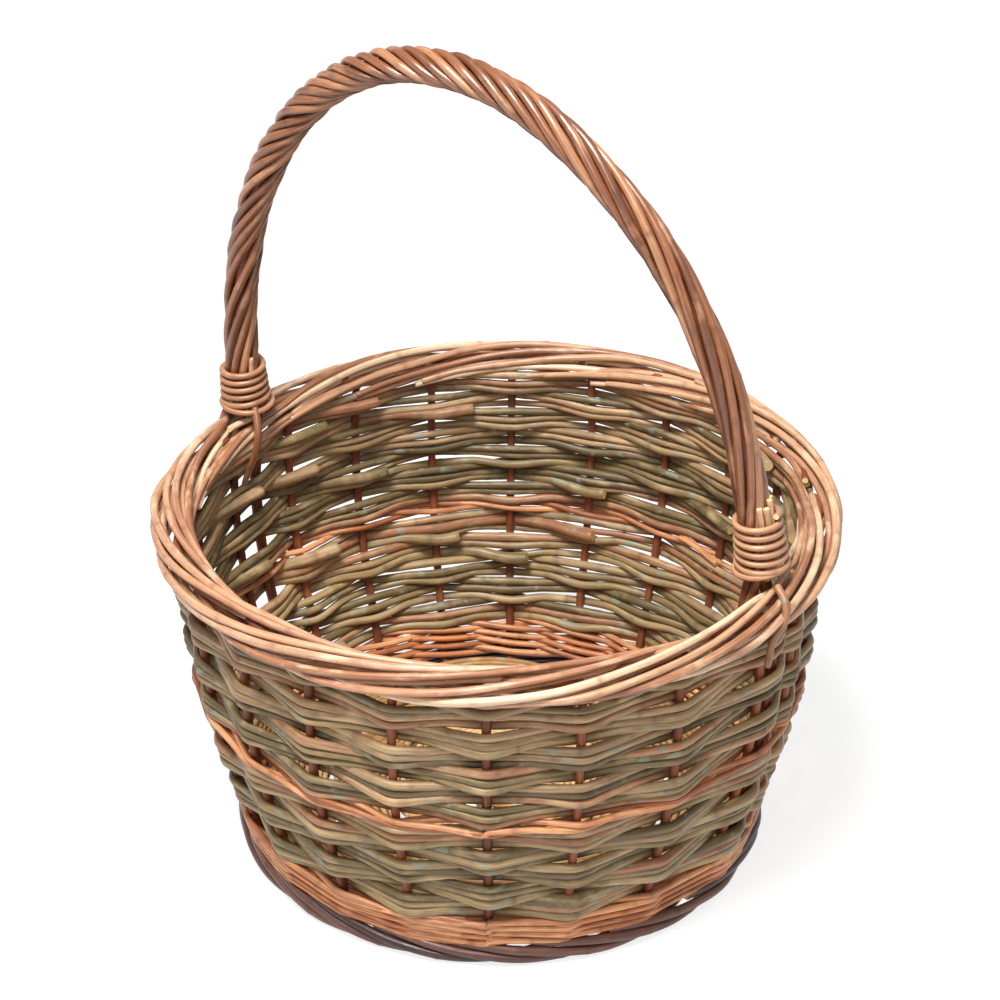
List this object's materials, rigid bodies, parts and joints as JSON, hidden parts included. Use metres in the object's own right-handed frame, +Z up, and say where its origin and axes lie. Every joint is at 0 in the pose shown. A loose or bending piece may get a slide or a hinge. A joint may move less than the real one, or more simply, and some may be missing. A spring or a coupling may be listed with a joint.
{
  "type": "woven market basket",
  "caption": "Round willow basket with leaning slewed walls, a rolled border, a raised foot and a fixed roped handle bound by collars.",
  "frame": {"origin": "centre of the round footprint, on the plane that the basket rests on", "axes": "+Z up, out of the mouth; the handle spans +X to -X"},
  "size_m": [0.3832, 0.383, 0.4693],
  "materials": {
    "dark_willow": "satin",
    "base_willow": "satin",
    "foot_willow": "satin",
    "wale_willow": "satin",
    "weave_willow": "satin",
    "border_willow": "satin",
    "handle_willow": "satin",
    "cut_willow": "satin"
  },
  "bodies": {
    "root": {"side_stakes": "dark_willow", "handle_bow": "dark_willow", "base_sticks_lower": "base_willow", "base_sticks_upper": "base_willow", "base_half_stick": "base_willow", "base_tie": "base_willow", "base_weave_inner": "base_willow", "base_weave_middle": "base_willow", "base_weave_outer": "base_willow", "foot_wale": "foot_willow", "mid_wale": "wale_willow", "border_outer": "border_willow", "border_top": "border_willow", "border_inner": "border_willow", "border_lower": "border_willow", "collar_left": "border_willow", "collar_right": "border_willow", "collar_cut_ends": "cut_willow", "upsett_wale_1": "wale_willow", "upsett_wale_2": "wale_willow", "upsett_wale_3": "wale_willow", "upsett_wale_4": "wale_willow", "slew_lower_1": "weave_willow", "slew_lower_2": "weave_willow", "slew_lower_3": "weave_willow", "slew_lower_4": "weave_willow", "slew_lower_5": "weave_willow", "slew_upper_1": "weave_willow", "slew_upper_2": "weave_willow", "slew_upper_3": "weave_willow", "slew_upper_4": "weave_willow", "slew_upper_5": "weave_willow", "slew_upper_6": "weave_willow", "slew_upper_7": "weave_willow", "handle_strand_1": "handle_willow", "handle_strand_2": "handle_willow", "handle_strand_3": "handle_willow", "handle_strand_4": "handle_willow", "handle_strand_5": "handle_willow", "handle_strand_6": "handle_willow", "handle_strand_7": "handle_willow", "handle_strand_8": "handle_willow"}
  },
  "joints": []
}
